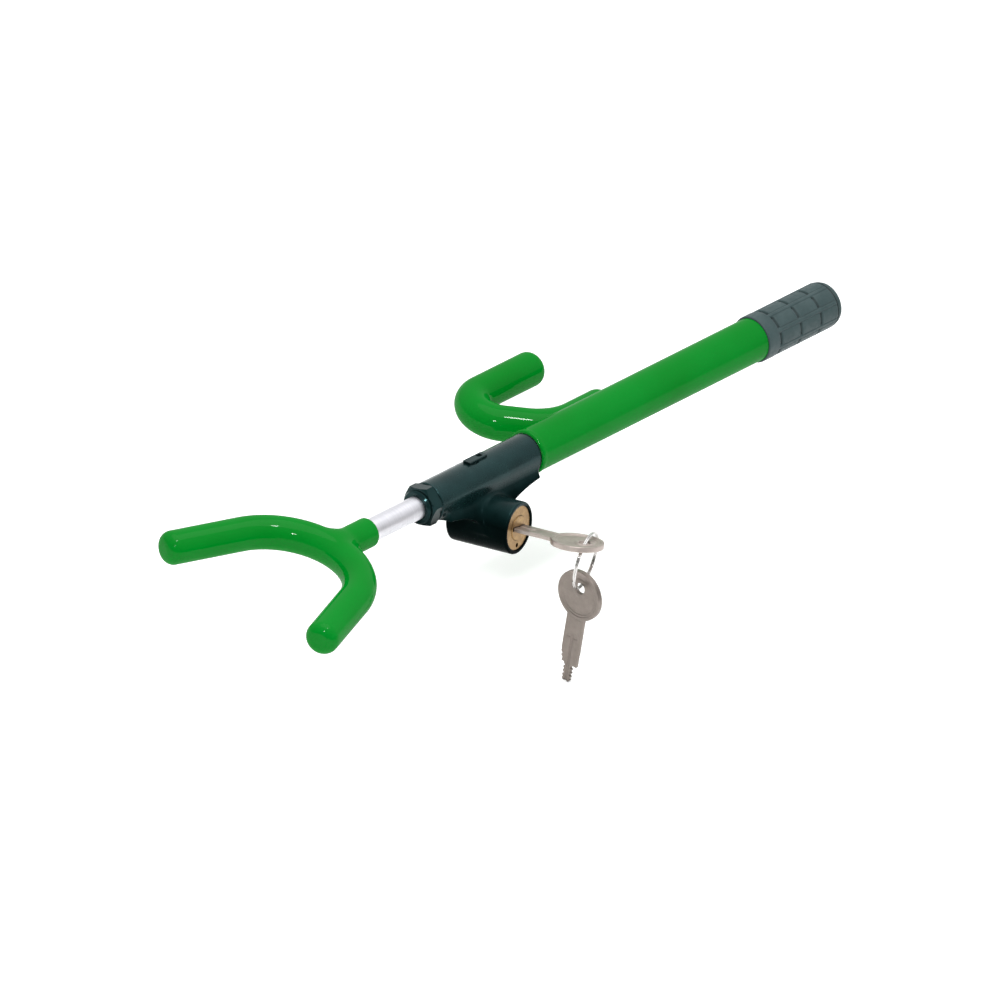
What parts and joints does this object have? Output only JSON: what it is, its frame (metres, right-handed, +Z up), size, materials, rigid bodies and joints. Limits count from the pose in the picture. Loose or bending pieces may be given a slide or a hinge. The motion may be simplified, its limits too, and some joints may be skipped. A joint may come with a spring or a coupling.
{
  "type": "steering wheel lock",
  "caption": "Steering wheel lock bar with a fixed hook, a sliding and turning fork, a key cylinder, a rubber grip and two keys on a ring.",
  "frame": {"origin": "on the sliding shaft's axis, at the seam where the main tube meets the lock head", "axes": "+X along the shaft towards the grip, +Z up and square to the fork's plane, -Y towards the lock's side, +Y towards the fixed hook"},
  "size_m": [0.4742, 0.155, 0.1103],
  "materials": {
    "green_vinyl": "thick glossy dipped vinyl",
    "tube_steel": "drawn steel tube",
    "rod_steel": "bright bent steel rod",
    "satin_steel": "satin plated",
    "grip_rubber": "moulded, matt",
    "black_casting": "semi-gloss dark paint on a casting",
    "black_nut": "dark gloss paint",
    "bush_nylon": "natural nylon",
    "wiper_rubber": "matt",
    "brass": "machined",
    "wafer_brass": "stamped",
    "spring_steel": "oiled",
    "bolt_steel": "hardened and ground",
    "key_nickel": "worn nickel plate",
    "ring_steel": "bright wire"
  },
  "bodies": {
    "lock_body": {"main_tube": "tube_steel", "tube_coating": "green_vinyl", "hook_rod": "rod_steel", "hook_weld": "rod_steel", "hook_coating": "green_vinyl", "grip_sleeve": "grip_rubber", "tube_end_plug": "grip_rubber", "lock_housing": "black_casting", "front_nut": "black_nut", "front_guide_bush": "bush_nylon", "shaft_wiper": "wiper_rubber", "bolt_cover_plug": "black_nut", "lock_cylinder": "brass", "cylinder_grub_screw": "spring_steel"},
    "shaft_guide": {"shaft_guide_bush": "bush_nylon"},
    "shaft_and_fork": {"shaft": "satin_steel", "shaft_circlip": "spring_steel", "fork_rod": "rod_steel", "fork_weld": "rod_steel", "fork_coating": "green_vinyl"},
    "plug": {"lock_plug": "brass", "plug_clip": "spring_steel", "plug_wafers": "wafer_brass"},
    "bolt": {"locking_bolt": "bolt_steel"},
    "key": {"inserted_key": "key_nickel"},
    "ring": {"key_ring": "ring_steel"},
    "spare": {"spare_key": "key_nickel"}
  },
  "joints": [
    {"name": "shaft_slide", "type": "slide", "parent": "lock_body", "child": "shaft_guide", "axis": [-1, 0, 0], "range_m": [0, 0.192]},
    {"name": "fork_turn", "type": "hinge", "parent": "shaft_guide", "child": "shaft_and_fork", "pos_m": [0, 0, 0], "axis": [1, 0, 0], "continuous": true},
    {"name": "plug_turn", "type": "hinge", "parent": "lock_body", "child": "plug", "pos_m": [-0.0434, -0.00386, -0.02084], "axis": [0.1788, -0.9674, 0.1793], "range_deg": [0, 90]},
    {"name": "bolt_slide", "type": "slide", "parent": "lock_body", "child": "bolt", "axis": [0, 0.1822, 0.9833], "range_m": [0, 0.002]},
    {"name": "key_pull", "type": "slide", "parent": "plug", "child": "key", "axis": [0.1788, -0.9674, 0.1793], "range_m": [0, 0.0184]},
    {"name": "ring_swing", "type": "hinge", "parent": "key", "child": "ring", "pos_m": [-0.02188, -0.06682, -0.01129], "axis": [0.9103, 0.317, -0.2663], "range_deg": [-15, 8]},
    {"name": "spare_key_swing", "type": "hinge", "parent": "ring", "child": "spare", "pos_m": [-0.02478, -0.06783, -0.03782], "axis": [0.9444, 0.3289, 0], "range_deg": [-20, 20]}
  ],
  "couplings": [
    {"joint": "bolt_slide", "follows": "plug_turn", "m_per_rad": 0.001273}
  ]
}
